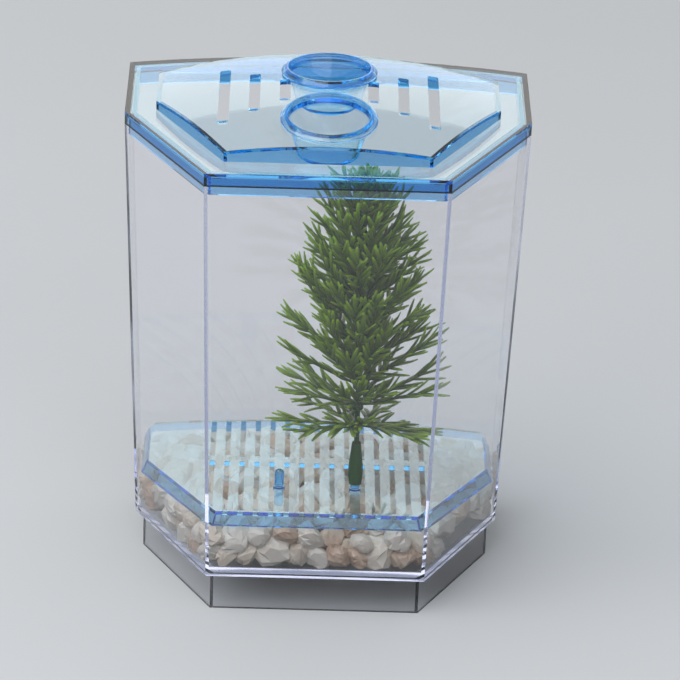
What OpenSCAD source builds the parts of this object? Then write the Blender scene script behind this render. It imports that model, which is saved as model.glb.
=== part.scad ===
// Clear fish breeding box: a flared six-sided tank on a plinth, a domed lid with two
// feeding cups, a slotted tray on a gravel bed, and a leafy plant on one of its pegs.
// Millimetres, +Z up, front wall towards -Y, origin at the centre of the footprint.

/* [Tank] */
// Width across the two side walls at the floor
base_w = 140; // [125:1:160]
// Width of the front wall at the floor
front_w = 83; // [70:1:95]
// Angle that each slanted wall turns back from the front wall, degrees
slant_angle = 61; // [55:1:66]
// Depth from the front wall to the middle of the rear wall, at the floor
base_d = 102; // [98:1:115]
// Radius of the bowed rear wall at the floor
rear_r = 287; // [200:1:400]
// Height of the rim above the table
tank_h = 179.3; // [165:0.1:200]
// How far every wall leans out between the floor and the rim
flare = 5.9; // [3:0.1:7]
// Thickness of the tank walls
wall = 2.2; // [1.8:0.1:3]
// Thickness of the floor
floor_t = 3.2; // [2:0.1:5]
// Height of the plinth under the floor
plinth_h = 15.5; // [10:0.5:20]
// Step in from the floor's edge to the plinth
plinth_inset = 3.1; // [2:0.1:5]
// Thickness of the plinth wall
plinth_wall = 2; // [1.5:0.1:3]

/* [Lid] */
// Height of the lid's rim
rim_h = 5; // [4:0.1:8]
// Thickness of the lid's flat margin
lid_t = 2.2; // [1.5:0.1:3]
// Thickness of the rim that stands on the tank wall
rim_t = 2; // [1.5:0.1:2.1]
// Depth of the lip that locates the lid inside the tank
lip_h = 4; // [2:0.5:8]
// Thickness of the locating lip
lip_t = 1.5; // [1:0.1:2]
// Gap between the lip and the tank wall
lip_gap = 0.6; // [0.4:0.1:1]
// Width of one centring rib on the lip
rib_w = 1.2; // [0.8:0.1:2]
// Flat margin round the front and sides of the raised dome
dome_margin = 11.6; // [9:0.1:13]
// Flat margin behind the dome
dome_rear_margin = 18.5; // [14:0.5:20]
// Height of the dome's crown above the flat margin
dome_rise = 11.4; // [9:0.1:14]
// Radius of the dome's crown
dome_r = 259; // [240:1:320]
// Distance of the crown behind the lid's centre
dome_y = 3.6; // [0:0.1:6]
// Radius of the dome's rear edge, seen from above
dome_rear_r = 590; // [400:10:900]
// Thickness of the dome
dome_t = 2; // [1.5:0.1:2.5]

/* [Vents] */
// Vent slots on each side of the cups
vent_count = 3; // [1:1:3]
// Width of a vent slot
vent_w = 4; // [2:0.1:5]
// Length of the outermost slot
vent_l = 46; // [40:0.5:50]
// How much shorter each next slot is
vent_step = 14.3; // [14:0.1:18]
// Distance of the outermost slots from the middle
vent_x = 39; // [37:0.1:42]
// Spacing of the slots
vent_pitch = 11.3; // [8:0.1:11.4]
// Middle of the slots behind the lid's centre
vent_y = -0.8; // [-3:0.1:0]
// Corner radius of a slot
vent_corner_r = 0.8; // [0.3:0.1:0.9]

/* [Cups] */
// Room between the dome's front edge and the front cup's rim
cup_front_room = 1.8; // [1:0.1:3]
// Room between the dome's rear edge and the rear cup's rim
cup_rear_room = 4.4; // [3:0.1:6]
// Outer radius of a cup's rim
cup_rim_r = 18; // [17.6:0.1:18.4]
// Inner radius of a cup's mouth
cup_mouth_r = 15.5; // [14.5:0.1:16]
// Outer radius of a cup where it passes through the dome
cup_neck_r = 16; // [15:0.1:16.3]
// Outer radius of a cup's bottom
cup_base_r = 12; // [9:0.1:13]
// Depth of a cup below the dome
cup_depth = 13; // [8:0.5:14]
// Height of a cup's rim above the dome
cup_rim_h = 2; // [1.2:0.1:3]
// Wall of a cup
cup_wall = 1.2; // [0.8:0.1:1.4]

/* [Tray] */
// Height of the tray's front edge above the table
tray_z = 41; // [38:0.1:48]
// How far the tray has settled towards the rear on the gravel, degrees
tray_tilt = 4.2; // [0:0.1:4.5]
// Thickness of the tray's plate
tray_t = 1.8; // [1.2:0.1:3]
// Depth of the tray's turned-down edge
tray_drop = 5.2; // [4:0.1:7]
// Step in from the tank's floor outline to the plate's edge
tray_inset = 5.4; // [5:0.1:8]
// How far the turned-down edge flares out
tray_flare = 2.1; // [0:0.1:2.4]
// Thickness of the turned-down edge
tray_edge_t = 1.5; // [1:0.1:2]
// How much is cut off each rear corner
tray_corner = 3; // [0:0.5:5]
// Number of slots across the tray
slot_count = 15; // [5:2:17]
// Width of a slot
slot_w = 2; // [1:0.1:3]
// Spacing of the slots
slot_pitch = 5.8; // [5:0.1:6]
// Middle of the solid bar that divides the two rows of slots
crossbar_y = 5.1; // [-6:0.1:8]
// Width of that bar
crossbar_w = 5.8; // [3:0.1:8]
// Distance of each peg from the middle
peg_x = 14.5; // [10:0.1:18]
// Distance of the pegs behind the tray's front edge
peg_back = 24; // [20:0.1:28]
// Radius of a peg
peg_r = 1.8; // [1.5:0.1:2]
// Height of a peg above the plate
peg_h = 7.8; // [6:0.1:10]

/* [Plant] */
// Height of the plant's foot above the plate
foot_lift = 2.6; // [1:0.1:4]
// Height of the bulb-shaped foot
foot_h = 17; // [14:0.5:22]
// Largest radius of the foot
foot_r = 2.8; // [2.6:0.1:3.4]
// Radius of the stem
stem_r = 1; // [0.8:0.1:1.2]
// Height of the lowest leaf tier above the plate
first_tier = 25; // [23:0.5:30]
// Number of leaf tiers
tier_count = 12; // [4:1:13]
// Room above the plant's stem, up to the lid's flat margin
plant_room = 19; // [14:0.5:30]
// Open water between the fronds and the middle of the rear wall
swim_room = 44.7; // [40:0.1:55]
// Height of a tier's collar
collar_h = 4; // [2:0.5:5]
// Reach of the fronds on the lowest tiers
frond_reach = 29.5; // [16:0.5:30]
// Reach of the fronds at the top
top_reach = 13; // [6:0.5:14]
// How full the plant stays on its way up: higher keeps the long reach further up
fullness = 2.2; // [1:0.1:3]
// Rise of the fronds just above the lowest tier, degrees
low_angle = 14; // [4:1:18]
// Rise of the fronds at the top, degrees
top_angle = 36; // [20:1:38]
// Droop of the lowest fronds, degrees
droop_angle = 7; // [0:1:14]
// Thickness of a frond
frond_t = 0.8; // [0.5:0.1:1.2]
// Width of a frond's rib and of its needles
needle_w = 1.1; // [0.8:0.1:1.5]

/* [Gravel] */
// Widest a stone can be
stone_d = 9.6; // [8:0.1:12]
// Tallest that a stone of the lower layer can be
stone_h = 8.6; // [7:0.1:9]
// How far the upper stones have settled between the lower ones
settle = 3.2; // [0:0.1:3.2]

/* [Fits] */
// Gap between pieces that rest on each other through a curved or loose seat
seat_gap = 0.25; // [0.1:0.05:0.4]
// Radial gap of a push fit
push_gap = 0.05; // [0.02:0.01:0.1]
// Gap between a cup and the hole that it hangs in
cup_gap = 0.3; // [0.2:0.05:0.4]

/* [Hidden] */
$fn = 96;
// a length that reaches past the whole object
far = 600;
// overlap that makes a cut run clean through
over = 1;

floor_z = plinth_h + floor_t;
lid_top = tank_h + rim_h;
plate_z = lid_top - lid_t;
// how far the slanted walls run back, and the middle of the rear wall's arc
slant_run = (base_w - front_w) / 2 * tan(slant_angle);
rear_sag = rear_r - sqrt(pow(rear_r, 2) - pow(base_w / 2, 2));
front_y = -base_d / 2;
side_y = front_y + slant_run;
rear_y = base_d / 2;
corner_y = rear_y - rear_sag;

// each flat wall of the tank at the floor: a point on it and the way it faces
WALLS = [
    [[0, front_y], -90],
    [[-front_w / 2, front_y], -90 - slant_angle],
    [[front_w / 2, front_y], -90 + slant_angle],
    [[-base_w / 2, 0], 180],
    [[base_w / 2, 0], 0],
];

// how far a wall has leaned out at height z
function lean(z) = flare * (z - plinth_h) / (tank_h - plinth_h);

// ---- shapes that several pieces share ----

// the tank's plan, moved out by grow, with a rear arc of its own radius and crown
module plan(grow, arc_r, crown_y) {
    side_x = base_w / 2 + grow;
    front_x = front_w / 2 + grow * tan(slant_angle / 2);
    turn_y = side_y - grow * tan((90 - slant_angle) / 2);
    back_y = crown_y + over;
    intersection() {
        polygon([[-front_x, front_y - grow], [front_x, front_y - grow], [side_x, turn_y],
                 [side_x, back_y], [-side_x, back_y], [-side_x, turn_y]]);
        translate([0, crown_y - arc_r]) circle(r = arc_r);
    }
}

module tank_plan(grow) { plan(grow, rear_r + grow, rear_y + grow); }

// everything behind a wall that leans outwards as it rises
module behind_wall(place, facing, grow, z, angle) {
    translate([place[0], place[1], z]) rotate([0, 0, facing]) translate([grow, 0, 0])
        rotate([0, angle, 0]) translate([-far, -far / 2, -far / 2]) cube(far);
}

// the plan carried up from z_low to z_high while it grows from grow_low to grow_high
module flared(grow_low, z_low, grow_high, z_high, corner = 0) {
    tall = z_high - z_low;
    angle = atan((grow_high - grow_low) / tall);
    back = [cos(corner_facing), sin(corner_facing)];
    intersection() {
        translate([0, rear_y - rear_r, z_low])
            cylinder(h = tall, r1 = rear_r + grow_low, r2 = rear_r + grow_high);
        intersection_for(w = WALLS) behind_wall(w[0], w[1], grow_low, z_low, angle);
        if (corner > 0) {
            intersection_for(s = [-1, 1])
                behind_wall([s * (base_w / 2 - corner * back[0]), corner_y - corner * back[1]],
                            s > 0 ? corner_facing : 180 - corner_facing, grow_low, z_low, angle);
        }
    }
}
// the way that a cut rear corner faces
corner_facing = 38;

// ---- tank ----

module tank() {
    color([0.80, 0.88, 0.94, 0.3]) {
        difference() {
            flared(0, plinth_h, flare, tank_h);
            flared(lean(floor_z) - wall, floor_z, lean(tank_h + over) - wall, tank_h + over);
        }
        difference() {
            linear_extrude(plinth_h) tank_plan(-plinth_inset);
            translate([0, 0, -over]) linear_extrude(plinth_h + over)
                tank_plan(-plinth_inset - plinth_wall);
        }
    }
}

// ---- lid ----

lip_grow = flare - wall - lip_gap;
dome_grow = flare - dome_margin;
dome_crown_y = rear_y + flare - dome_rear_margin;
dome_centre = [0, dome_y, lid_top + dome_rise - dome_r];
dome_front_y = front_y - dome_grow;
front_cup_y = dome_front_y + cup_front_room + cup_rim_r;
rear_cup_y = dome_crown_y - cup_rear_room - cup_rim_r;
cup_hole_r = cup_neck_r + cup_gap;

module dome_plan(grow) { plan(dome_grow + grow, dome_rear_r + grow, dome_crown_y + grow); }

// the space under the dome's surface, t below its outside
module dome_space(t, z_low) {
    intersection() {
        translate([0, 0, z_low]) linear_extrude(dome_rise * 3) dome_plan(-t);
        translate(dome_centre) sphere(r = dome_r - t, $fn = 200);
    }
}

// stands its children on the dome, square to its surface, at a distance y from the centre
module on_dome(y) {
    translate(dome_centre) rotate([-asin((y - dome_y) / dome_r), 0, 0])
        translate([0, 0, dome_r]) children();
}

module round_slot(w, l, r) {
    union() {
        square([w - 2 * r, l], center = true);
        square([w, l - 2 * r], center = true);
        for (x = [-1, 1], y = [-1, 1]) translate([x * (w / 2 - r), y * (l / 2 - r)]) circle(r = r);
    }
}

module vents() {
    for (s = [-1, 1], i = [0 : vent_count - 1])
        translate([s * (vent_x - i * vent_pitch), vent_y, lid_top])
            linear_extrude(dome_rise * 2) round_slot(vent_w, vent_l - i * vent_step, vent_corner_r);
}

// the ribs that centre the lip in the tank, three on the front and three on the back
module lip_ribs() {
    rib_reach = lip_gap / 2;
    rib_tall = plate_z - tank_h + lip_h;
    for (x = [-1, 0, 1] * front_w * 0.46) {
        translate([x - rib_w / 2, front_y - lip_grow - rib_reach, tank_h - lip_h])
            cube([rib_w, rib_reach + lip_t / 2, rib_tall]);
        arc_y = rear_y - rear_r + sqrt(pow(rear_r + lip_grow, 2) - pow(x, 2));
        translate([x - rib_w / 2, arc_y - lip_t / 2, tank_h - lip_h])
            cube([rib_w, rib_reach + lip_t / 2, rib_tall]);
    }
}

module lid() {
    color([0.62, 0.80, 0.95, 0.35]) {
        difference() {
            union() {
                translate([0, 0, tank_h]) linear_extrude(rim_h) tank_plan(flare);
                dome_space(0, plate_z);
            }
            translate([0, 0, tank_h - over]) linear_extrude(plate_z - tank_h + over)
                tank_plan(flare - rim_t);
            dome_space(dome_t, tank_h);
            vents();
            for (y = [front_cup_y, rear_cup_y])
                on_dome(y) translate([0, 0, -dome_rise / 2]) cylinder(r = cup_hole_r, h = dome_rise);
        }
        difference() {
            union() {
                translate([0, 0, tank_h - lip_h]) linear_extrude(plate_z - tank_h + lip_h)
                    tank_plan(lip_grow);
                lip_ribs();
            }
            translate([0, 0, tank_h - lip_h - over])
                linear_extrude(plate_z - tank_h + lip_h + 2 * over) tank_plan(lip_grow - lip_t);
        }
    }
}

// ---- cups ----

// half section of a cup, z = 0 where its axis meets the dome
module cup_section() {
    seat_z = sqrt(pow(dome_r, 2) - pow(cup_rim_r, 2)) - dome_r + seat_gap;
    base_in = cup_base_r - cup_wall;
    roll = 0.7;
    polygon([[0, -cup_depth], [cup_base_r, -cup_depth], [cup_neck_r, 0], [cup_neck_r + 0.1, roll],
             [cup_rim_r - 0.9, seat_z], [cup_rim_r, seat_z], [cup_rim_r, seat_z + roll],
             [cup_mouth_r + roll, cup_rim_h], [cup_mouth_r, cup_rim_h], [cup_neck_r - cup_wall, 0],
             [base_in, cup_wall - cup_depth], [0, cup_wall - cup_depth]]);
}

module cup(y) {
    color([0.45, 0.68, 0.95, 0.4]) on_dome(y) rotate_extrude() cup_section();
}

module front_cup() { cup(front_cup_y); }
module rear_cup() { cup(rear_cup_y); }

// ---- tray ----

tray_low_z = tray_z - tray_drop;
tray_slope = tray_flare / tray_drop;
tray_front_y = front_y + tray_inset;
peg_y = tray_front_y + peg_back;

// leans its children back about the tray's front edge, as the tray lies on the gravel
module on_gravel() {
    translate([0, tray_front_y, tray_z]) rotate([-tray_tilt, 0, 0])
        translate([0, -tray_front_y, -tray_z]) children();
}

// height of the tray at y, depth below its top
function tray_at(y, depth) = tray_z - depth / cos(tray_tilt) - (y - tray_front_y) * tan(tray_tilt);

// the tray's outer shape, or its hollow when t is its edge thickness
module tray_body(t, z_low, z_high) {
    flared(-tray_inset - t + (tray_z - z_low) * tray_slope, z_low,
           -tray_inset - t + (tray_z - z_high) * tray_slope, z_high, tray_corner);
}

module tray_slots() {
    first = -(slot_count - 1) / 2;
    intersection() {
        translate([0, 0, tray_z - tray_t - over]) linear_extrude(tray_t + 2 * over)
            tank_plan(-tray_inset - tray_edge_t);
        for (i = [0 : slot_count - 1]) translate([(first + i) * slot_pitch - slot_w / 2, 0, 0]) {
            translate([0, front_y, tray_low_z]) cube([slot_w, crossbar_y - crossbar_w / 2 - front_y, far]);
            translate([0, crossbar_y + crossbar_w / 2, tray_low_z]) cube([slot_w, far, far]);
        }
    }
}

// a peg with a small foot ring and a round top
module peg() {
    cylinder(r = peg_r + 0.4, h = 0.8);
    cylinder(r = peg_r, h = peg_h - peg_r);
    translate([0, 0, peg_h - peg_r]) sphere(r = peg_r);
}

module tray() {
    color([0.55, 0.78, 0.92, 0.45]) on_gravel() {
        difference() {
            tray_body(0, tray_low_z, tray_z);
            tray_body(tray_edge_t, tray_low_z - over, tray_z - tray_t);
            tray_slots();
        }
        for (s = [-1, 1]) translate([s * peg_x, peg_y, tray_z - tray_t / 2]) {
            cylinder(r = peg_r + 0.4, h = tray_t / 2);
            translate([0, 0, tray_t / 2]) peg();
        }
    }
}

// ---- plant ----

foot_z = tray_z + foot_lift;
foot_top = foot_z + foot_h;
socket_depth = 4;
socket_r = stem_r + push_gap;

module at_plant(z) { on_gravel() translate([peg_x, peg_y, z]) children(); }

// the foot's outline: a slow swell above the peg, drawn out to the stem's collar
function foot_profile(t) = foot_r * (0.86 + 0.14 * sin(min(180 * t * 1.6, 90)))
    - (foot_r - stem_r - 0.7) * pow(max(t - 0.3, 0) / 0.7, 2) * (2 - max(t - 0.3, 0) / 0.7);

module plant_foot() {
    steps = 14;
    color([0.10, 0.24, 0.08]) difference() {
        at_plant(foot_z) rotate_extrude() polygon(concat([[0, 0]],
            [for (i = [0 : steps]) [foot_profile(i / steps), foot_h * i / steps]], [[0, foot_h]]));
        at_plant(foot_z - over) cylinder(r = peg_r + push_gap, h = peg_h - foot_lift + seat_gap + over);
        at_plant(foot_top - socket_depth) cylinder(r = socket_r, h = socket_depth + over);
    }
}

stem_top = plate_z - plant_room;
tier_pitch = (stem_top - stem_r - collar_h - tray_z - first_tier) / (tier_count - 1);

module plant_stem() {
    color([0.16, 0.34, 0.10]) at_plant(foot_top - socket_depth)
        cylinder(r = stem_r, h = stem_top - foot_top + socket_depth);
}

needle_l = 5.5;
needle_fork = 38;

// one flat frond: a rib with needles forking off both sides and a forked tip
module frond_outline(l) {
    first = 0.28 * l;
    last = l - 6.2;
    count = max(1, round((last - first) / 3.6));
    translate([0, -needle_w / 2]) square([l - 2, needle_w]);
    for (s = [-1, 1]) {
        for (i = [0 : count]) translate([first + (last - first) * i / count, 0])
            rotate(s * needle_fork) translate([0, -needle_w / 2]) square([needle_l, needle_w]);
        translate([l - 3.5, 0]) rotate(s * 22) translate([0, -needle_w / 2]) square([3.6, needle_w]);
    }
}

// a frond that points at the free peg, give or take peg_angle, stops short of a foot on it
peg_angle = 20;
peg_room = 2 * peg_x - foot_r - push_gap;
function beside_peg(reach, turn) = cos(turn) < -cos(peg_angle) ? min(reach, peg_room) : reach;

// how far behind the stem a frond tip may reach at height z above the plate, clear of swim_room
function rear_room(z) = (rear_y - swim_room - tray_front_y - z * sin(tray_tilt)) / cos(tray_tilt)
    - peg_back;
function before_water(reach, turn, z) = sin(turn) <= 0 ? reach
    : min(reach, (rear_room(z) - needle_l * sin(needle_fork) * abs(cos(turn))) / sin(turn));

// a collar on the stem with a ring of fronds that rise or droop by pitch degrees
module tier(i) {
    up = i / (tier_count - 1);
    reach = frond_reach + (top_reach - frond_reach) * pow(up, fullness);
    pitch = i == 0 ? -droop_angle : low_angle + (top_angle - low_angle) * up;
    fronds = i > tier_count * 0.6 ? 6 : 8;
    frond_root = stem_r + 0.6;
    low_z = first_tier + i * tier_pitch;
    tip_z = low_z + collar_h + reach * tan(max(pitch, 0));
    color([0.14 + 0.05 * up, 0.38 + 0.08 * up, 0.10]) at_plant(tray_z + low_z)
        difference() {
            union() {
                cylinder(r = stem_r + 1.1, h = collar_h);
                for (k = [1 : fronds], turn = 360 / fronds * k + 19 * i,
                     room = before_water(beside_peg(reach, turn), turn, tip_z))
                    rotate([0, 0, turn]) translate([frond_root, 0, collar_h / 2])
                        rotate([0, -pitch, 0]) translate([0, 0, -frond_t / 2])
                            linear_extrude(frond_t) frond_outline((room - frond_root) / cos(pitch));
            }
            translate([0, 0, -far / 2]) cylinder(r = socket_r, h = far);
        }
}

// ---- gravel ----

// the twelve corners and twenty faces of an icosahedron, which each stone is a rough copy of
GOLD = (1 + sqrt(5)) / 2;
CORNERS = [for (a = [-1, 1], b = [-GOLD, GOLD]) each [[0, a, b], [a, b, 0], [b, 0, a]]] / norm([1, GOLD]);
EDGE = 2 / norm([1, GOLD]) * 1.01;
function joined(a, b) = norm(CORNERS[a] - CORNERS[b]) < EDGE;
FACES = [for (a = [0 : 11], b = [a + 1 : 11], c = [a + 1 : 11])
    if (b != c && joined(a, b) && joined(b, c) && joined(c, a)
        && cross(CORNERS[b] - CORNERS[a], CORNERS[c] - CORNERS[a]) * CORNERS[a] < 0) [a, b, c]];

function turn_z(v, t) = [v[0] * cos(t) - v[1] * sin(t), v[0] * sin(t) + v[1] * cos(t), v[2]];
function turn_x(v, t) = [v[0], v[1] * cos(t) - v[2] * sin(t), v[1] * sin(t) + v[2] * cos(t)];

// a stone's corners inside an upright ellipsoid, unevenly worn
function stone_corners(seed, wide, tall) =
    let (wear = rands(0.88, 1, 12, seed), spin = rands(0, 360, 3, seed + 0.5))
    [for (i = [0 : 11]) let (v = turn_z(turn_x(turn_z(CORNERS[i], spin[0]), spin[1]), spin[2]) * wear[i])
        [v[0] * wide / 2, v[1] * wide / 2, v[2] * tall / 2]];

// one stone between z_low and z_high at x, y; it touches whichever of the two holds it
module stone(x, y, z_low, z_high, seed, from_top) {
    points = stone_corners(seed, stone_d, z_high - z_low);
    heights = [for (p = points) p[2]];
    z = from_top ? z_high - max(heights) : z_low - min(heights);
    translate([x, y, z]) polyhedron(points, FACES);
}

// rows of stones from the front wall to the bowed rear wall; each row runs from wall to wall
stone_margin = wall + stone_d / 2 + 0.1;
row_depth = corner_y - front_y - 2 * stone_margin;
row_count = floor(row_depth / (stone_d + 0.2)) + 1;

function row_half(y) = min(base_w / 2 - stone_margin,
    front_w / 2 + (y - front_y) / tan(slant_angle) - stone_margin / sin(slant_angle));
function row_y(j) = front_y + stone_margin + row_depth * j / (row_count - 1);
// extra depth that the bowed rear wall gives at x
function bow(x) = sqrt(pow(rear_r, 2) - pow(x, 2)) - (rear_r - rear_sag);

// offset 0 gives the lower layer; 1 the stones between them in the upper one
function row_stones(j, offset) =
    let (half = row_half(row_y(j)), n = floor(2 * half / (stone_d + 0.2)))
    [for (i = [0 : n - offset]) let (x = half * (2 * (i + offset / 2) / n - 1))
        [x, row_y(j) + bow(x) * j / (row_count - 1)]];

// depth of the gravel bed at y, up to the tray's turned-down edge, and its share of the front's
function bed(y) = tray_at(y + stone_d / 2, tray_drop) - seat_gap - floor_z;
function bed_share(y) = bed(y) / bed(tray_front_y);

module lower_gravel() {
    color([0.86, 0.83, 0.78]) for (j = [0 : row_count - 1], at = row_stones(j, 0))
        stone(at[0], at[1], floor_z, floor_z + stone_h * bed_share(at[1]), at[0] * 7 + at[1] * 13, false);
}

// a stone under the tray's turned-down edge stops below it, and the rest below the plate
edge_zone = tray_inset - tray_flare + tray_edge_t + stone_d / 2;
function clear_of_walls(x, y, margin) =
    min([for (w = WALLS) (w[0] - [x, y]) * [cos(w[1]), sin(w[1])]]) > margin
    && rear_r - norm([x, y - rear_y + rear_r]) > margin;

module upper_gravel() {
    color([0.92, 0.89, 0.84]) for (j = [0 : row_count - 1], at = row_stones(j, 1)) {
        edge_top = floor_z + bed(at[1]);
        plate_top = tray_at(at[1] + stone_d / 2, tray_t) - seat_gap;
        stone(at[0], at[1], edge_top - (stone_h + settle) * bed_share(at[1]),
              clear_of_walls(at[0], at[1], edge_zone + 0.5) ? plate_top : edge_top,
              at[0] * 11 + at[1] * 5 + 3, true);
    }
}

tank();
lid();
front_cup();
rear_cup();
tray();
lower_gravel();
upper_gravel();
plant_foot();
plant_stem();
tier(0);  // leaf_tier_01
tier(1);  // leaf_tier_02
tier(2);  // leaf_tier_03
tier(3);  // leaf_tier_04
tier(4);  // leaf_tier_05
tier(5);  // leaf_tier_06
tier(6);  // leaf_tier_07
tier(7);  // leaf_tier_08
tier(8);  // leaf_tier_09
tier(9);  // leaf_tier_10
tier(10);  // leaf_tier_11
tier(11);  // leaf_tier_12
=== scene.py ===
# %% [markdown]
# # A clear fish breeding box
# The box is a flared six-sided tank on a low plinth. It has a domed lid with vents and two feeding
# cups, a slotted tray that lies on a bed of quartz gravel, and a soft plastic plant on one of the
# tray's pegs. The construction model already holds every rigid piece at its real size, so this
# lesson loads it as a fixed frame and adds what the frame can't have: clear tinted plastic, broken
# stones, needle leaves, light and a camera. Shapes are worked out in millimetres and made metres
# at the last step.

# %% Load the frame
import math

import bpy
import numpy as np
from mathutils import Matrix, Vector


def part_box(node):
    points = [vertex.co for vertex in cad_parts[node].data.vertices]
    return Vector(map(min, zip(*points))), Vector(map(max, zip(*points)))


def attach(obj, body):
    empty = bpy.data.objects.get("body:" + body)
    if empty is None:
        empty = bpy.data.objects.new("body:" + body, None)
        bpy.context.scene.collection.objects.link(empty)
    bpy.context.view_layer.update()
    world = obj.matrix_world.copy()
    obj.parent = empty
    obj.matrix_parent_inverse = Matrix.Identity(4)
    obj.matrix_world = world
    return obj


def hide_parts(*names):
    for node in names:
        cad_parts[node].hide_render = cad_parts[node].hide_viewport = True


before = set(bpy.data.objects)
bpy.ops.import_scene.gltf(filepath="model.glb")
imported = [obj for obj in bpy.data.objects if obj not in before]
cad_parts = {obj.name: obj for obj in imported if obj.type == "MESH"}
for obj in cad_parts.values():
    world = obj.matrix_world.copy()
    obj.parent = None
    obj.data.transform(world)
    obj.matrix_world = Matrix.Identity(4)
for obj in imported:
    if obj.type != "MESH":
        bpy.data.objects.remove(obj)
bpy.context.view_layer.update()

MM = 0.001


# %% [markdown]
# ## Camera
# A long lens far away keeps the tank's upright edges nearly parallel. The camera could be given
# Euler angles, but those are hard to picture and can lock. Here it is placed round a point that it
# aims at, by the angle round the tank and the angle above the ground. Its three axes are built
# with cross products and then rolled about the line of sight, and the lamps are placed with the
# same two functions.

# %% Camera
AZIMUTH, ELEVATION, ROLL = np.radians([-0.944, 25.904, 2.024])
AIM = np.array([7.2, 0.0, 91.6]) * MM
DISTANCE = 1.681
LENS, SENSOR = 233.0, 36.0
NEAR, FAR = 0.1, 20.0


def aimed_axes(azimuth, elevation, roll):
    """Right, up and back axes of a camera: back points from the aim to the camera, right is level,
    and the pair right and up is then turned by roll about back."""
    back = np.array([math.sin(azimuth) * math.cos(elevation),
                     -math.cos(azimuth) * math.cos(elevation), math.sin(elevation)])
    right = np.cross([0, 0, 1], back)
    right /= np.linalg.norm(right)
    up = np.cross(back, right)
    turned_right = math.cos(roll) * right + math.sin(roll) * up
    turned_up = math.cos(roll) * up - math.sin(roll) * right
    return turned_right, turned_up, back


def placed(right, up, back, at):
    """A 4 x 4 matrix with these axes as its columns and its origin at the point."""
    return Matrix([[right[i], up[i], back[i], at[i]] for i in range(3)] + [[0, 0, 0, 1]])


axes = aimed_axes(AZIMUTH, ELEVATION, ROLL)
camera = bpy.data.objects.new("camera", bpy.data.cameras.new("camera"))
camera.data.lens, camera.data.sensor_width = LENS, SENSOR
camera.data.clip_start, camera.data.clip_end = NEAR, FAR
camera.matrix_world = placed(*axes, AIM + axes[2] * DISTANCE)
bpy.context.collection.objects.link(camera)
bpy.context.scene.camera = camera
print("camera stands at", [round(c, 3) for c in camera.matrix_world.translation])

# %% [markdown]
# ## Shader maths as expressions
# A node material could be drawn node by node, but it is easier to read as a formula. `Wire` wraps a
# socket and turns `+`, `-`, `*` and `**` into Math nodes, also when the number stands on the left.
# `Nodes` wraps a node tree and has one method, `node`, for every other kind of node: settings
# first, then sockets, each given a value or a wire.

# %% Wires and nodes
class Wire:
    """A shader socket that can be used in arithmetic with other wires and with numbers."""

    def __init__(self, nodes, socket):
        self.nodes, self.socket = nodes, socket

    def _math(self, operation, *values):
        """A Math node on these values, in their order."""
        return self.nodes.node("ShaderNodeMath", {"operation": operation}, dict(enumerate(values)))

    def __add__(self, other):
        return self._math("ADD", self, other)

    def __radd__(self, other):
        return self._math("ADD", other, self)

    def __sub__(self, other):
        return self._math("SUBTRACT", self, other)

    def __rsub__(self, other):
        return self._math("SUBTRACT", other, self)

    def __mul__(self, other):
        return self._math("MULTIPLY", self, other)

    def __rmul__(self, other):
        return self._math("MULTIPLY", other, self)

    def __pow__(self, other):
        return self._math("POWER", self, other)

    def clamped(self):
        """This value held between 0 and 1."""
        return self.nodes.node("ShaderNodeClamp", {}, {"Value": self})


class Nodes:
    """A node tree that nodes are added to by type, settings and sockets."""

    def __init__(self, tree):
        self.tree = tree

    def put(self, socket, value):
        """Gives a socket a wire or a plain value."""
        if isinstance(value, Wire):
            self.tree.links.new(value.socket, socket)
        else:
            socket.default_value = value

    def node(self, kind, settings, sockets, output=0):
        """Adds a node: its settings first, then its sockets by name or number. A colour ramp's
        stops are a list of (place, colour) under the setting stops."""
        made = self.tree.nodes.new(kind)
        for name, value in settings.items():
            if name == "stops":
                ramp = made.color_ramp.elements
                while len(ramp) < len(value):
                    ramp.new(1.0)
                for stop, (place, colour) in zip(ramp, value):
                    stop.position, stop.color = place, (*colour, 1)
            else:
                setattr(made, name, value)
        for name, value in sockets.items():
            self.put(made.inputs[name], value)
        return Wire(self, made.outputs[output])


print("helpers ready: Wire and Nodes")

# %% [markdown]
# ## Finishes
# Every finish of this box, from the plastic to the stones, is one Principled shader with a few
# noises in front of it. `Finish` is a material made with the class above, with shortcuts for what
# most of them need. Patterns lie in the piece's own space, in metres, so they stay on it when it
# moves.

# %% Finishes
class Finish(Nodes):
    """A material with one Principled shader, self.skin."""

    def __init__(self, name, **sockets):
        self.material = bpy.data.materials.new(name)
        self.material.use_nodes = True
        super().__init__(self.material.node_tree)
        self.skin = self.tree.nodes["Principled BSDF"]
        self.out = self.tree.nodes["Material Output"]
        self.set(**sockets)

    def set(self, **sockets):
        """Sets sockets of the Principled shader; Base_Color stands for Base Color."""
        for name, value in sockets.items():
            self.put(self.skin.inputs[name.replace("_", " ")], value)

    def place(self):
        """The place on the piece, as Object coordinates in metres."""
        return self.node("ShaderNodeTexCoord", {}, {}, "Object")

    def noise(self, size, detail=3.0, roughness=0.5):
        """Soft noise from 0 to 1 whose blotches are about size metres across."""
        return self.node("ShaderNodeTexNoise", {}, {
            "Vector": self.place(), "Scale": 1 / size, "Detail": detail, "Roughness": roughness})

    def mix(self, share, first, second):
        """A colour that goes from first to second as share goes from 0 to 1."""
        return self.node("ShaderNodeMix", {"data_type": "RGBA"},
                         {"Factor": share, "A": first, "B": second}, 2)

    def mark(self):
        """The piece's own attribute mark, a number from 0 to 1."""
        return self.node("ShaderNodeAttribute", {"attribute_name": "mark"}, {}, "Fac")

    def bump(self, height, depth, strength=1.0):
        """A normal from a height from 0 to 1 that stands for depth metres."""
        return self.node("ShaderNodeBump", {}, {
            "Strength": strength, "Distance": depth, "Height": height})


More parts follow.
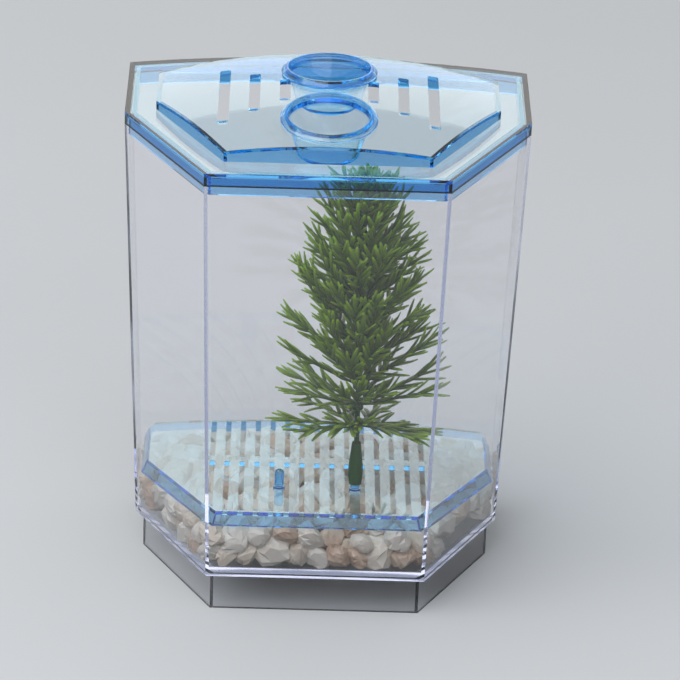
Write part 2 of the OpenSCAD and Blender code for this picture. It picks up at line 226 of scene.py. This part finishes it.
def rgb(red, green, blue):
    """A colour as a socket wants it, with full alpha."""
    return (red, green, blue, 1.0)


print("helper ready: Finish")

# %% [markdown]
# ## Stage and light
# A clear object shows only what it reflects and bends, so its stage matters as much as its own
# finish. The floor is pale and keeps the shadow. A wide soft lamp behind the tank is what the dome
# mirrors, a large one above and to the left models the stones and the leaves, and one in front
# fills in. Big weak lamps are used, because small strong ones would glare in the lid. The world
# gives a little light and is seen as a brighter pale grey, also in and through the plastic.
#
# In this box a ray passes through or off many faces before it comes out, and with the usual limits
# on bounces the edges turn black, so these are raised.

# %% Stage and light
FLOOR_HALF = 4.0
LAMPS_AIM = np.array([0, 0, 0.1])
BOUNCES = 32


def stage_floor():
    """One pale matt sheet far larger than the view, with the faintest mottle."""
    mesh = bpy.data.meshes.new("stage_floor")
    corners = np.array([(-1, -1, 0), (1, -1, 0), (1, 1, 0), (-1, 1, 0)]) * FLOOR_HALF
    mesh.from_pydata(corners, [], [(0, 1, 2, 3)])
    floor = bpy.data.objects.new("stage_floor", mesh)
    bpy.context.collection.objects.link(floor)
    paint = Finish("pale_paper", Roughness=0.9)
    grain = paint.noise(150 * MM, 2.0)
    paint.set(Base_Color=paint.mix(grain, rgb(0.58, 0.60, 0.62), rgb(0.61, 0.63, 0.65)))
    mesh.materials.append(paint.material)


def soft_lamp(name, azimuth, elevation, away, size, watts, colour=(1, 1, 1)):
    """A rectangular lamp whose size is its width and height in metres, placed by angles in degrees
    and a distance from the middle of the tank, which it faces."""
    lamp = bpy.data.objects.new(name, bpy.data.lights.new(name, "AREA"))
    lamp.data.shape = "RECTANGLE"
    lamp.data.size, lamp.data.size_y = size
    lamp.data.energy, lamp.data.color = watts, colour
    right, up, back = aimed_axes(math.radians(azimuth), math.radians(elevation), 0)
    lamp.matrix_world = placed(right, up, back, LAMPS_AIM + back * away)
    bpy.context.collection.objects.link(lamp)


def pale_world(light, seen):
    """A grey dome that lights at strength light, and that the camera, mirrors and glass see at
    strength seen."""
    world = bpy.data.worlds.new("pale_world")
    world.use_nodes = True
    bpy.context.scene.world = world
    nodes = Nodes(world.node_tree)
    sky = nodes.tree.nodes["Background"]
    lighting = nodes.node("ShaderNodeLightPath", {}, {}, "Is Diffuse Ray")
    nodes.put(sky.inputs["Color"], rgb(0.95, 0.97, 1.0))
    nodes.put(sky.inputs["Strength"], seen + lighting * (light - seen))


stage_floor()
pale_world(light=0.4, seen=0.75)
soft_lamp("rear_window", 180, 21, away=2.6, size=(3.2, 1.1), watts=10, colour=(1.0, 0.94, 0.87))
soft_lamp("key", -55, 55, away=1.8, size=(1.8, 1.8), watts=28)
soft_lamp("front_fill", 25, 24, away=2.0, size=(2.2, 1.6), watts=10)
bpy.context.scene.view_settings.view_transform = "Standard"
light_paths = bpy.context.scene.cycles
light_paths.max_bounces = BOUNCES
light_paths.transmission_bounces = BOUNCES
light_paths.glossy_bounces = BOUNCES
light_paths.caustics_refractive = False

# %% [markdown]
# ## Clear plastic
# Polished polystyrene is glass to a renderer: it bends and mirrors light, and the walls are solid,
# so the corners act as prisms by themselves. The tint could all be on the surface, but the real one
# is in the bulk: a 2 mm sheet looks nearly clear, while an edge, which pipes light through
# centimetres of plastic, glows deep blue. So a Volume Absorption shader takes a little red out of
# every millimetre. Few light paths find their way along a thin sheet, so that glow is painted on as
# well: the upright faces and the cups' rims, where the piped light comes out, get a bluer surface
# colour, a painted glow of piped light.
#
# Clear plastic also hides a lamp, because a renderer finds lamps with straight shadow rays and
# can't bend those. For shadow rays it is therefore plainly see-through, and the light reaches the
# plant and the stones.

# %% Clear plastic
REFRACTION = 1.5
HAZE = 0.02
WAVINESS = 0.02 * MM
SHADOW_TINT = rgb(0.96, 0.97, 0.98)
SMOKE, AZURE = (0.66, 0.70, 0.88), (0.04, 0.74, 0.91)
# How far down from a cup's top its painted rim glow reaches, and the height over which that glow
# fades in.
CUP_GLOW_DEPTH, GLOW_FADE = 4.8 * MM, MM / 1.5


def clear_plastic(name, tint, density, sheet, edge, rim_glow=None):
    """Clear moulded plastic. Its surface lets through sheet where it is level and edge where it is
    upright, by 1 - (the normal's upward share) squared. The edge colour is a painted glow, the blue
    of light piped along the plastic. The bulk lets tint pass and takes the rest, the faster the
    higher the density. A rim glow is a height in metres and a colour, a painted glow that the
    surface has from that height on up. Noise to the third power adds a few duller smears, as
    handling leaves them."""
    finish = Finish(name, Transmission_Weight=1.0, IOR=REFRACTION)
    facing = finish.node("ShaderNodeNewGeometry", {}, {}, "True Normal")
    level = finish.node("ShaderNodeSeparateXYZ", {}, {"Vector": facing}, "Z")
    # Painted glow: the more upright a face, the more it takes the edge colour, the blue of light
    # piped along the plastic.
    upright = (1 - level * level).clamped()
    sheet_and_glow = finish.mix(upright, rgb(*sheet), rgb(*edge))
    # Painted glow: from rim_from up, the cup's surface fades into the rim's glow colour, for light
    # piped out at its rim.
    if rim_glow:
        rim_from, rim_glow_colour = rim_glow
        height = finish.node("ShaderNodeSeparateXYZ", {}, {"Vector": finish.place()}, "Z")
        in_rim_glow = ((height - rim_from) * (1 / GLOW_FADE)).clamped()
        sheet_and_glow = finish.mix(in_rim_glow, sheet_and_glow, rgb(*rim_glow_colour))
    smear = finish.noise(12 * MM, 4.0)
    finish.set(Base_Color=sheet_and_glow, Roughness=HAZE + 0.03 * smear ** 3.0,
               Normal=finish.bump(finish.noise(18 * MM, 1.0), WAVINESS))
    bulk = finish.node("ShaderNodeVolumeAbsorption", {}, {"Color": rgb(*tint), "Density": density})
    lit = finish.node("ShaderNodeMixShader", {}, {
        0: finish.node("ShaderNodeLightPath", {}, {}, "Is Shadow Ray"),
        1: Wire(finish, finish.skin.outputs[0]),
        2: finish.node("ShaderNodeBsdfTransparent", {}, {"Color": SHADOW_TINT})})
    finish.put(finish.out.inputs["Volume"], bulk)
    finish.put(finish.out.inputs["Surface"], lit)
    return finish.material


def dress(node, material):
    """Gives a CAD node this one material."""
    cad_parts[node].material_slots[0].material = material


# Each part's edge colour is its painted glow of piped light on upright faces; sheet is its own pale
# tint.
dress("tank", clear_plastic("clear_tank", SMOKE, 14.0, sheet=(0.97, 0.98, 1.0),
                            edge=(0.99, 0.99, 1.0)))
dress("lid", clear_plastic("clear_lid", AZURE, 55.0, sheet=(0.91, 0.96, 0.99),
                           edge=(0.25, 0.55, 0.89)))
dress("tray", clear_plastic("blue_tray", AZURE, 90.0, sheet=(0.88, 0.95, 0.98),
                            edge=(0.20, 0.52, 0.88)))
# The cups also get a bluer band at the top, a painted glow of the light piped out at their rims.
for cup in ("front_cup", "rear_cup"):
    _, cup_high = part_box(cup)
    dress(cup, clear_plastic("blue_" + cup, AZURE, 75.0, sheet=(0.90, 0.96, 0.99),
                             edge=(0.82, 0.92, 0.99),
                             rim_glow=(cup_high[2] - CUP_GLOW_DEPTH, (0.32, 0.61, 0.93))))
print("dressed the tank, the lid, the tray and both cups")

# %% [markdown]
# ## Making meshes from arrays
# Every new piece is a grid of points worked out in one go. Placing vertices one by one in a loop
# would do, but slowly. `skin_grid` joins such grids with faces: rows run along the piece, columns
# run round it and close on themselves, and both ends are closed with one face each. It takes any
# number of equal grids at once, which is how a few hundred needles or stones become one mesh.

# %% Grids to meshes
def skin_grid(points):
    """Vertices and faces for grids of points shaped (pieces, rows, columns, 3). The column after
    the last is the first; the first and the last row are closed with a face of all columns. Seen
    from the last row, looking back, the columns run anticlockwise, so the faces point outwards."""
    pieces, rows, columns, _ = points.shape
    number = np.arange(pieces * rows * columns).reshape(pieces, rows, columns)
    right = np.roll(number, -1, axis=2)
    sides = np.stack([number[:, :-1], right[:, :-1], right[:, 1:], number[:, 1:]], -1)
    ends = np.concatenate([number[:, 0, ::-1], number[:, -1]])
    return points.reshape(-1, 3), [sides.reshape(-1, 4), ends.reshape(-1, columns)]


def piece(name, parts, marks, material, smooth):
    """One mesh object from several (vertices in mm, faces) pairs. Marks holds a number per vertex
    for each pair, which is kept as the attribute mark."""
    vertices, faces, base = [], [], 0
    for points, groups in parts:
        for group in groups:
            faces += (group + base).tolist()
        vertices.append(points)
        base += len(points)
    mesh = bpy.data.meshes.new(name)
    mesh.from_pydata(np.concatenate(vertices) * MM, [], faces)
    layer = mesh.attributes.new("mark", "FLOAT", "POINT")
    layer.data.foreach_set("value", np.concatenate(marks).astype(np.float32))
    mesh.polygons.foreach_set("use_smooth", np.full(len(faces), smooth))
    mesh.materials.append(material)
    made = bpy.data.objects.new(name, mesh)
    bpy.context.collection.objects.link(made)
    return made


print("helpers ready: skin_grid and piece")

# %% [markdown]
# ## The tray's lean
# The tray has settled 4.2 degrees towards the rear on its gravel, and the plant stands square on
# it. The plant's objects could be turned, but a finished piece keeps its place in its mesh. Its
# points are therefore worked out upright, and then leaned about the tray's front edge.

# %% The tray's lean
TRAY_TILT = math.radians(4.2)
TRAY_FRONT = np.array([0.0, -45.6, 41.0])


def leaned(points):
    """Turns points about the tray's front top edge, rear end down."""
    cosine, sine = math.cos(TRAY_TILT), math.sin(TRAY_TILT)
    off = points - TRAY_FRONT
    y = off[..., 1] * cosine + off[..., 2] * sine
    z = off[..., 2] * cosine - off[..., 1] * sine
    return np.stack([off[..., 0], y, z], -1) + TRAY_FRONT


print("a point 10 mm above the front edge goes to", leaned(TRAY_FRONT + [0, 0, 10]).round(2))

# %% [markdown]
# ## The room for the gravel
# The gravel lies between the tank's floor and the tray, in an outline of five flat walls and a
# bowed one. Whether a stone lies inside could be asked of the tank's mesh, point by point. The
# outline is simple enough for a formula, which answers for all points at once and also says how
# far to move one that lies too near to a wall.

# %% Room for the gravel
# The outline of the tank's floor: the front wall's place and half width, the side walls' place, the
# slanted walls' angle to the front wall, and the middle and the radius of the bowed rear wall.
FRONT_Y, FRONT_HALF, SIDE_X, SLANT = -51.0, 41.5, 70.0, math.radians(61)
REAR_Y, REAR_R = 51.0, 287.0
FLOOR_Z, WALL = 18.7, 2.3
# Down from the tray's top: its plate's underside and its turned-down edge's, and how far from the
# outline that edge begins.
PLATE_DOWN, EDGE_DOWN, EDGE_IN = 2.1, 5.5, 7.4


def wall_room(x, y):
    """Distance in mm from the tank's floor outline to a point inside: the least distance to the
    front, the two slanted and the two side walls, and to the rear wall, an arc of radius REAR_R."""
    return np.minimum.reduce([
        y - FRONT_Y, SIDE_X - np.abs(x), REAR_R - np.hypot(x, y - REAR_Y + REAR_R),
        (y - FRONT_Y) * math.cos(SLANT) - (np.abs(x) - FRONT_HALF) * math.sin(SLANT)])


def under_tray(x, y, radius):
    """Height in mm that a ball's top may reach: below the plate, or below the turned-down edge
    where the ball would meet that."""
    plate = TRAY_FRONT[2] - (y - TRAY_FRONT[1]) * math.tan(TRAY_TILT)
    at_edge = wall_room(x, y) < EDGE_IN + radius
    return plate - np.where(at_edge, EDGE_DOWN, PLATE_DOWN)


def held_in(at, clearance):
    """Moves points, in place, away from any wall they are nearer to than clearance mm. The way is
    the slope of wall_room, taken over a small step; a corner needs a few rounds."""
    step = 0.01
    for _ in range(3):
        x, y = at[..., 0], at[..., 1]
        room = wall_room(x, y)
        slope = np.stack([wall_room(x + step, y) - room, wall_room(x, y + step) - room], -1) / step
        at[..., :2] -= slope * np.minimum(room - clearance, 0)[..., None]


print("from the middle of the floor, the nearest wall is", wall_room(0.0, 0.0), "mm away")

# %% [markdown]
# ## The gravel bed
# The bed is broken quartz, 8 to 15 mm. Real gravel is poured and settles. A rigid body simulation
# could do that, but it is slow and hard to repeat. Here it is done with arrays: balls start at
# random places between the floor and the tray and push each other apart until hardly any overlap,
# while the walls, the floor and the tray hold them in.

# %% Pour the gravel
STONE_COUNT, STONE_R = 232, (3.7, 6.4)
rng = np.random.default_rng(7)


def poured(count, rounds=260):
    """Centres and radii of balls after the pushing. In each round every pair that is nearer than
    0.9 of its two radii moves 0.3 of what it lacks apart, and all sink by 0.05 mm. Stones aren't
    quite round, so a ball may also lie a little nearer to a wall than its radius."""
    touch, push, sink = 0.9, 0.3, 0.05
    side_share, top_share, floor_share = 0.94, 0.88, 0.86
    start_low, start_high = [-66, -47, FLOOR_Z + 4], [66, 46, 32]
    radius = rng.uniform(*STONE_R, count)
    at = rng.uniform(start_low, start_high, (count, 3))
    not_itself = np.eye(count) * 99
    for _ in range(rounds):
        gap = at[:, None] - at[None]
        away = np.linalg.norm(gap, axis=2) + not_itself
        press = np.clip((radius[:, None] + radius) * touch - away, 0, None)
        at += (gap / away[..., None] * press[..., None]).sum(1) * push
        at[:, 2] -= sink
        held_in(at, radius * side_share + WALL)
        top = under_tray(at[:, 0], at[:, 1], radius) - radius * top_share
        at[:, 2] = np.maximum(np.minimum(at[:, 2], top), FLOOR_Z + radius * floor_share)
    return at, radius


stone_at, stone_r = poured(STONE_COUNT)
print("poured", len(stone_r), "stones, heights", stone_at[:, 2].min().round(1), "to",
      stone_at[:, 2].max().round(1))

# %% [markdown]
# ## Broken stones
# Quartz breaks along flat faces with sharp edges. Cutting balls with a modifier would take one
# object per stone. Instead, a stone is a ball cut by random planes as a formula: seen from its
# centre, the surface lies at the nearest plane in each direction. Taking the least of the plane
# distances over a grid of directions gives all the stones in one array expression, and flat shading
# keeps the breaks sharp. A little oversize, they are pressed back at the glass, the floor and the
# tray, so the outer ones lie there with a flat side, as settled gravel does.

# %% Break the stones
def broken_stones(at, radius, rows=8, columns=10, planes=11):
    """Points shaped (stones, rows, columns, 3). In direction d a stone reaches the least of 1.1 and
    of h / (d . n) over its planes, each with a distance h and a normal n. It is then stretched,
    turned, and sized so that each of its three half widths is 1.04 to 1.24 of its ball's radius.
    Rows run from the bottom up, so that the faces point outwards."""
    count = len(at)
    cap = 0.22
    polar = np.linspace(cap, np.pi - cap, rows)[:, None]
    stagger = 0.3 * (np.arange(rows) % 2)[:, None]
    turn = np.linspace(0, 2 * np.pi, columns, endpoint=False) + stagger
    ways = np.stack([np.sin(polar) * np.cos(turn), np.sin(polar) * np.sin(turn),
                     np.cos(polar) + 0 * turn], -1).reshape(-1, 3)
    normals = rng.normal(size=(count, planes, 3))
    normals /= np.linalg.norm(normals, axis=2, keepdims=True)
    heights = rng.uniform(0.62, 0.96, (count, planes))
    facing = np.einsum("dk,spk->sdp", ways, normals)
    reach = np.where(facing > 0.08, heights[:, None] / np.maximum(facing, 0.08), 9).min(2)
    reach = np.minimum(reach, 1.1) * rng.uniform(0.96, 1.03, reach.shape)
    turned, _ = np.linalg.qr(rng.normal(size=(count, 3, 3)))
    stretch = rng.uniform([1.0, 0.85, 0.72], [1.2, 1.0, 0.9], (count, 3))
    points = ways * reach[..., None] * stretch[:, None]
    points = np.einsum("sdk,skj->sdj", points, turned) * radius[:, None, None]
    middle = (points.max(1) + points.min(1)) / 2
    spread = (points.max(1) - points.min(1)) / 2
    fill = radius[:, None] * rng.uniform(1.04, 1.24, (count, 3)) / spread
    points = (points - middle[:, None]) * fill[:, None] + at[:, None]
    held_in(points, WALL + 0.05)
    below_tray = under_tray(points[..., 0], points[..., 1], 0.8) - 0.15
    points[..., 2] = np.clip(points[..., 2], FLOOR_Z + 0.05, below_tray)
    return points.reshape(count, rows, columns, 3)[:, ::-1]


stones = broken_stones(stone_at, stone_r)
print("stones span", (stones.max((0, 1, 2)) - stones.min((0, 1, 2))).round(1), "mm")

# %% [markdown]
# ## Quartz finish
# Quartz is white and a little waxy, because light goes in and comes back out, which a small
# subsurface share gives. A noise alone would stain all stones alike. Here each stone has its own
# number, which tints it from white over cream to a rusty pink, and the noise only breaks the tint
# up into stains and veins.

# %% Quartz finish
def quartz():
    """White waxy stone. Its stain is mark * 1.3 + noise - 0.85, where mark is the stone's own."""
    finish = Finish("quartz", IOR=1.54)
    stain = (finish.mark() * 1.3 + finish.noise(6 * MM, 6.0, 0.6) - 0.85).clamped()
    tint = finish.node("ShaderNodeValToRGB", {"stops": [
        (0.0, (0.84, 0.80, 0.74)), (0.45, (0.78, 0.68, 0.57)), (0.8, (0.66, 0.50, 0.39)),
        (1.0, (0.46, 0.31, 0.22))]}, {"Fac": stain})
    finish.set(Base_Color=tint, Roughness=0.32 + 0.3 * finish.noise(3 * MM, 4.0))
    finish.set(Subsurface_Weight=0.25, Subsurface_Scale=2 * MM,
               Subsurface_Radius=(1.0, 0.85, 0.7))
    finish.set(Normal=finish.bump(finish.noise(1.8 * MM, 6.0, 0.65), 0.4 * MM, 0.7))
    return finish.material


stone_mark = np.repeat(rng.uniform(0, 1, len(stones)) ** 1.3, stones[0, ..., 0].size)
gravel = piece("quartz_gravel", [skin_grid(stones)], [stone_mark], quartz(), smooth=False)
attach(gravel, "tank")
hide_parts("lower_gravel", "upper_gravel")
print("gravel has", len(gravel.data.polygons), "faces")

# %% [markdown]
# ## Needles
# The plant is soft moulded plastic: rings of fronds threaded on a stem, each frond a rib with
# blunt needles forking off it. Flat cards would look thin from the side. Ribs and needles are both
# an oval section carried along a line that bends a little, so one function makes both, as many as
# wanted in one call.

# %% Needles
def needles(roots, ways, tops, lengths, widths, thicks, bends, rows=5, columns=6):
    """Points shaped (needles, rows, columns, 3). At the share t of its length a needle's middle is
    root + way * length * t + top * bend * t * t. Its oval section is side * cos(a) * width / 2 +
    top * sin(a) * thick / 2, times a swell that is 1 in the middle third, three quarters at the
    root and half at the blunt tip."""
    t = np.linspace(0, 1, rows)[None, :, None]
    ways, tops = (v / np.linalg.norm(v, axis=-1, keepdims=True) for v in (ways, tops))
    sides = np.cross(tops, ways)
    sides /= np.linalg.norm(sides, axis=-1, keepdims=True)
    tops = np.cross(ways, sides)
    lengths, widths, thicks, bends = (np.asarray(v)[:, None, None]
                                      for v in (lengths, widths, thicks, bends))
    middle = roots[:, None] + ways[:, None] * lengths * t + tops[:, None] * bends * t * t
    swell = np.interp(t, [0, 0.3, 0.7, 0.93, 1], [0.75, 1, 1, 0.85, 0.5])[..., None]
    angle = np.linspace(0, 2 * np.pi, columns, endpoint=False)[None, None, :, None]
    oval = (sides[:, None, None] * np.cos(angle) * widths[..., None]
            + tops[:, None, None] * np.sin(angle) * thicks[..., None]) * swell / 2
    return middle[:, :, None] + oval


along_x, along_z = np.array([[1.0, 0, 0]]), np.array([[0, 0, 1.0]])
sample = needles(0 * along_x, along_x, along_z, [10.0], [1.6], [0.9], [1.0])
print("a needle is", sample.shape[1], "rings of", sample.shape[2], "points; a 10 mm one spans",
      np.ptp(sample, axis=(0, 1, 2)).round(2), "mm")

# %% [markdown]
# ## Leaf finish
# The leaves mix a deep green and a yellower green. The yellower green at the tips is painted light,
# for the light that the outer tips catch, and the deep green at the roots is painted shade, for the
# shade inside the plant. One colour would flatten the plant, so the attribute mark, 0 at a frond's
# root and 1 at a needle's tip, mixes the two, and a noise makes it uneven. A small subsurface share
# lets light through. The foot and the stem are the construction model's own pieces. They have no
# mark and take the same finish in a darker, duller green.

# %% Leaf finish
def leaf(name, deep, bright, shine):
    """Soft dyed plastic with painted light and shade. The share of bright, painted as lit tips, is
    mark + 0.8 * noise - 0.55, and deep, painted as shaded roots, is the rest.
    """
    finish = Finish(name, IOR=1.46, Specular_IOR_Level=shine)
    # Painted light and shade: the mark lightens the needle tips as if lit and leaves the roots near
    # the stem in the shaded deep green.
    share = (finish.mark() + 0.8 * finish.noise(20 * MM) - 0.55).clamped()
    finish.set(Base_Color=finish.mix(share, rgb(*deep), rgb(*bright)))
    finish.set(Roughness=0.36 + 0.18 * finish.noise(4 * MM))
    finish.set(Subsurface_Weight=0.2, Subsurface_Scale=1.5 * MM, Subsurface_Radius=(0.4, 1.0, 0.2))
    finish.set(Normal=finish.bump(finish.noise(1.2 * MM), 0.08 * MM, 0.5))
    return finish.material


# For the leaves, bright is the painted lit green of the tips and deep the painted shaded green of
# the roots; the stem has no mark, so only noise mixes its two greens.
leaf_green = leaf("leaf_green", deep=(0.009, 0.064, 0.002), bright=(0.29, 0.47, 0.012), shine=0.5)
stem_green = leaf("stem_green", deep=(0.005, 0.08, 0.001), bright=(0.014, 0.15, 0.003), shine=0.12)
dress("plant_foot", stem_green)
dress("plant_stem", stem_green)
print("leaf and stem finishes made")

# %% [markdown]
# ## The ribs of one ring
# Each frond of a ring has a stiff rib. One ring could be made and copied up the stem, but then
# every ring would look the same. A function of the ring's height makes each one instead, with
# small random turns. The lowest ring lies nearly level and the high ones rise steeply. The reach
# shrinks slowly at first and quickly near the top, which gives the plant its full, pear-like
# outline.

# %% Ribs
TIERS = 12
STEM_AT = np.array([14.5, -21.6])
FIRST_Z, LAST_Z, PLANT_TOP = 66.0, 158.1, 167.0
UP = np.array([0.0, 0.0, 1.0])
LOW_RISES = 2, 18
NEEDLE_LONG = 9.5, 13.0


def reach_at(up, angle):
    """Reach of a frond in mm for up from 0, the lowest ring, to 1, and its compass angle:
    34 - 21 * up ** 1.7, held back towards the front wall."""
    full = 34 - 21 * up ** 1.7
    front = 17 + 22 * up
    return np.where(np.sin(angle) < -0.6, np.minimum(full, front), full)


def frond_ribs(number, up, root):
    """The ribs of one ring, with a row for each in every array: its start, the ways along, across
    and over it, its length, and how far its tip bends up. A rib and its last needle together make
    up the frond's reach, and low ribs rise more towards the front wall, to stay clear of it."""
    fronds = 10 if number < 8 else 8
    angle = np.radians(360 / fronds * np.arange(fronds) + 19 * number) + rng.normal(0, 0.08, fronds)
    rise = LOW_RISES[number] if number < len(LOW_RISES) else 27 + 24 * up
    pitch = np.radians(rise) + rng.normal(0, 0.1, fronds)
    to_front = np.clip(-1.6 * np.sin(angle) - 0.6, 0, 1)
    pitch += np.radians(26 * (1 - up) ** 3) * to_front
    flat = np.stack([np.cos(angle), np.sin(angle), 0 * angle], 1)
    way = flat * np.cos(pitch)[:, None] + UP * np.sin(pitch)[:, None]
    across = np.cross(way, UP)
    across /= np.linalg.norm(across, axis=1, keepdims=True)
    over = np.cross(across, way)
    reach = reach_at(up, angle) * rng.uniform(0.88, 1.0, fronds)
    length = np.maximum(reach - NEEDLE_LONG[0] * np.cos(pitch), 4) / np.cos(pitch)
    length = np.minimum(length, (PLANT_TOP - 3 - root[2]) / np.maximum(way[:, 2], 0.1))
    bend = (1.0 if number else -2.0) + rng.normal(0.6, 0.8, fronds)
    return root + flat * 1.2, way, across, over, length, bend


print("reach of side fronds, low to high:", reach_at(np.linspace(0, 1, 5), 0.0).round(1), "mm")

# %% [markdown]
# ## The forked needles of one ring
# Long needles fork off a rib in pairs, forwards by some 28 degrees, and one more ends it. A
# particle system could scatter them, but moulded needles stand in order. So each has its place
# along the rib and its side, and only a little of its turn and length is left to chance.

# %% Forked needles
LOW_SPOTS, HIGH_SPOTS = (0.16, 0.34, 0.52, 0.70, 0.86, 0.98), (0.2, 0.5, 0.75, 0.98)


def forked_needles(number, up, start, way, across, over, length, bend):
    """The needles on these ribs. One with the share s of its rib behind it starts at start +
    way * length * s + over * bend * s * s, and heads along way * cos(fork) + aside * sin(fork),
    where aside is across, to its own side, rolled a little about the rib."""
    spots = LOW_SPOTS if up < 0.8 else HIGH_SPOTS
    fronds = len(start)
    spot = np.tile(np.append(np.repeat(spots, 2), 1.0), fronds)
    side = np.tile(np.append(np.tile([1.0, -1.0], len(spots)), 0.0), fronds)
    owner = np.repeat(np.arange(fronds), 2 * len(spots) + 1)
    count = len(owner)
    spot = np.clip(spot + rng.normal(0, 0.03, count), 0.1, 1.0)
    base = (start[owner] + way[owner] * (length[owner] * spot)[:, None]
            + over[owner] * (bend[owner] * spot ** 2)[:, None])
    roll = rng.normal(0.15, 0.6, count)
    fork = np.radians(rng.uniform(22, 36, count)) * (1.15 - 0.35 * spot)
    aside = across[owner] * (side * np.cos(roll))[:, None] + over[owner] * np.sin(roll)[:, None]
    heading = way[owner] * np.cos(fork)[:, None] + aside * np.sin(fork)[:, None]
    long = rng.uniform(*NEEDLE_LONG, count) * (1 - 0.22 * up) * (1 if number else 0.85)
    long = np.minimum(long, (PLANT_TOP - base[:, 2]) / np.maximum(heading[:, 2], 0.1))
    wide = rng.uniform(1.3, 1.85, count)
    return needles(base, heading, over[owner], long, wide, np.full(count, 0.9),
                   rng.normal(0.8 if number else -0.8, 0.7, count))


print("a low frond has", 2 * len(LOW_SPOTS) + 1, "needles, a high one", 2 * len(HIGH_SPOTS) + 1)

# %% [markdown]
# ## The leaf rings
# Each of the twelve rings is a piece of its own, as on the real plant, with eight or ten fronds
# round a collar that slides on the stem. They could be one mesh, but as pieces they can be handled
# one by one, and each stands in for one plain tier of the construction model.

# %% Leaf rings
def leaf_ring(number):
    """The vertices, faces and marks of one ring: its ribs, their needles, and the collar, a ring
    of radius wide at each height, 4 mm tall, with the ribs at half height."""
    up = number / (TIERS - 1)
    root = np.array([*STEM_AT, FIRST_Z + (LAST_Z - FIRST_Z) * up + 2])
    fronds = frond_ribs(number, up, root)
    start, way, _, over, length, bend = fronds
    ribs = needles(start, way, over, length, np.full(len(start), 1.5), np.full(len(start), 1.1),
                   bend, rows=7)
    forked = forked_needles(number, up, *fronds)
    turn = np.linspace(0, 2 * np.pi, 14, endpoint=False)
    wide = np.array([1.9, 2.2, 2.0, 1.5])[:, None]
    height = np.array([0, 0.5, 3.5, 4.0])[:, None]
    collar = np.stack([STEM_AT[0] + wide * np.cos(turn), STEM_AT[1] + wide * np.sin(turn),
                       root[2] - 2 + height + 0 * turn], -1)[None]
    parts, marks = [], []
    # The mark runs from 0 at a rib's root to 1 at a needle's tip. The leaf finish uses it to paint
    # light at the tips and shade at the roots.
    for grid, first, last in ((ribs, 0, 0.5), (forked, 0.25, 1.0), (collar, 0, 0)):
        along = np.linspace(first, last, grid.shape[1])[None, :, None]
        parts.append(skin_grid(leaned(grid)))
        marks.append(np.broadcast_to(along, grid.shape[:3]).ravel())
    return parts, marks


leaf_count = 0
for number in range(TIERS):
    ring = piece(f"needle_ring_{number + 1:02d}", *leaf_ring(number), leaf_green, smooth=True)
    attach(ring, "plant")
    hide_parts(f"leaf_tier_{number + 1:02d}")
    leaf_count += len(ring.data.polygons)
print("twelve rings with", leaf_count, "faces")
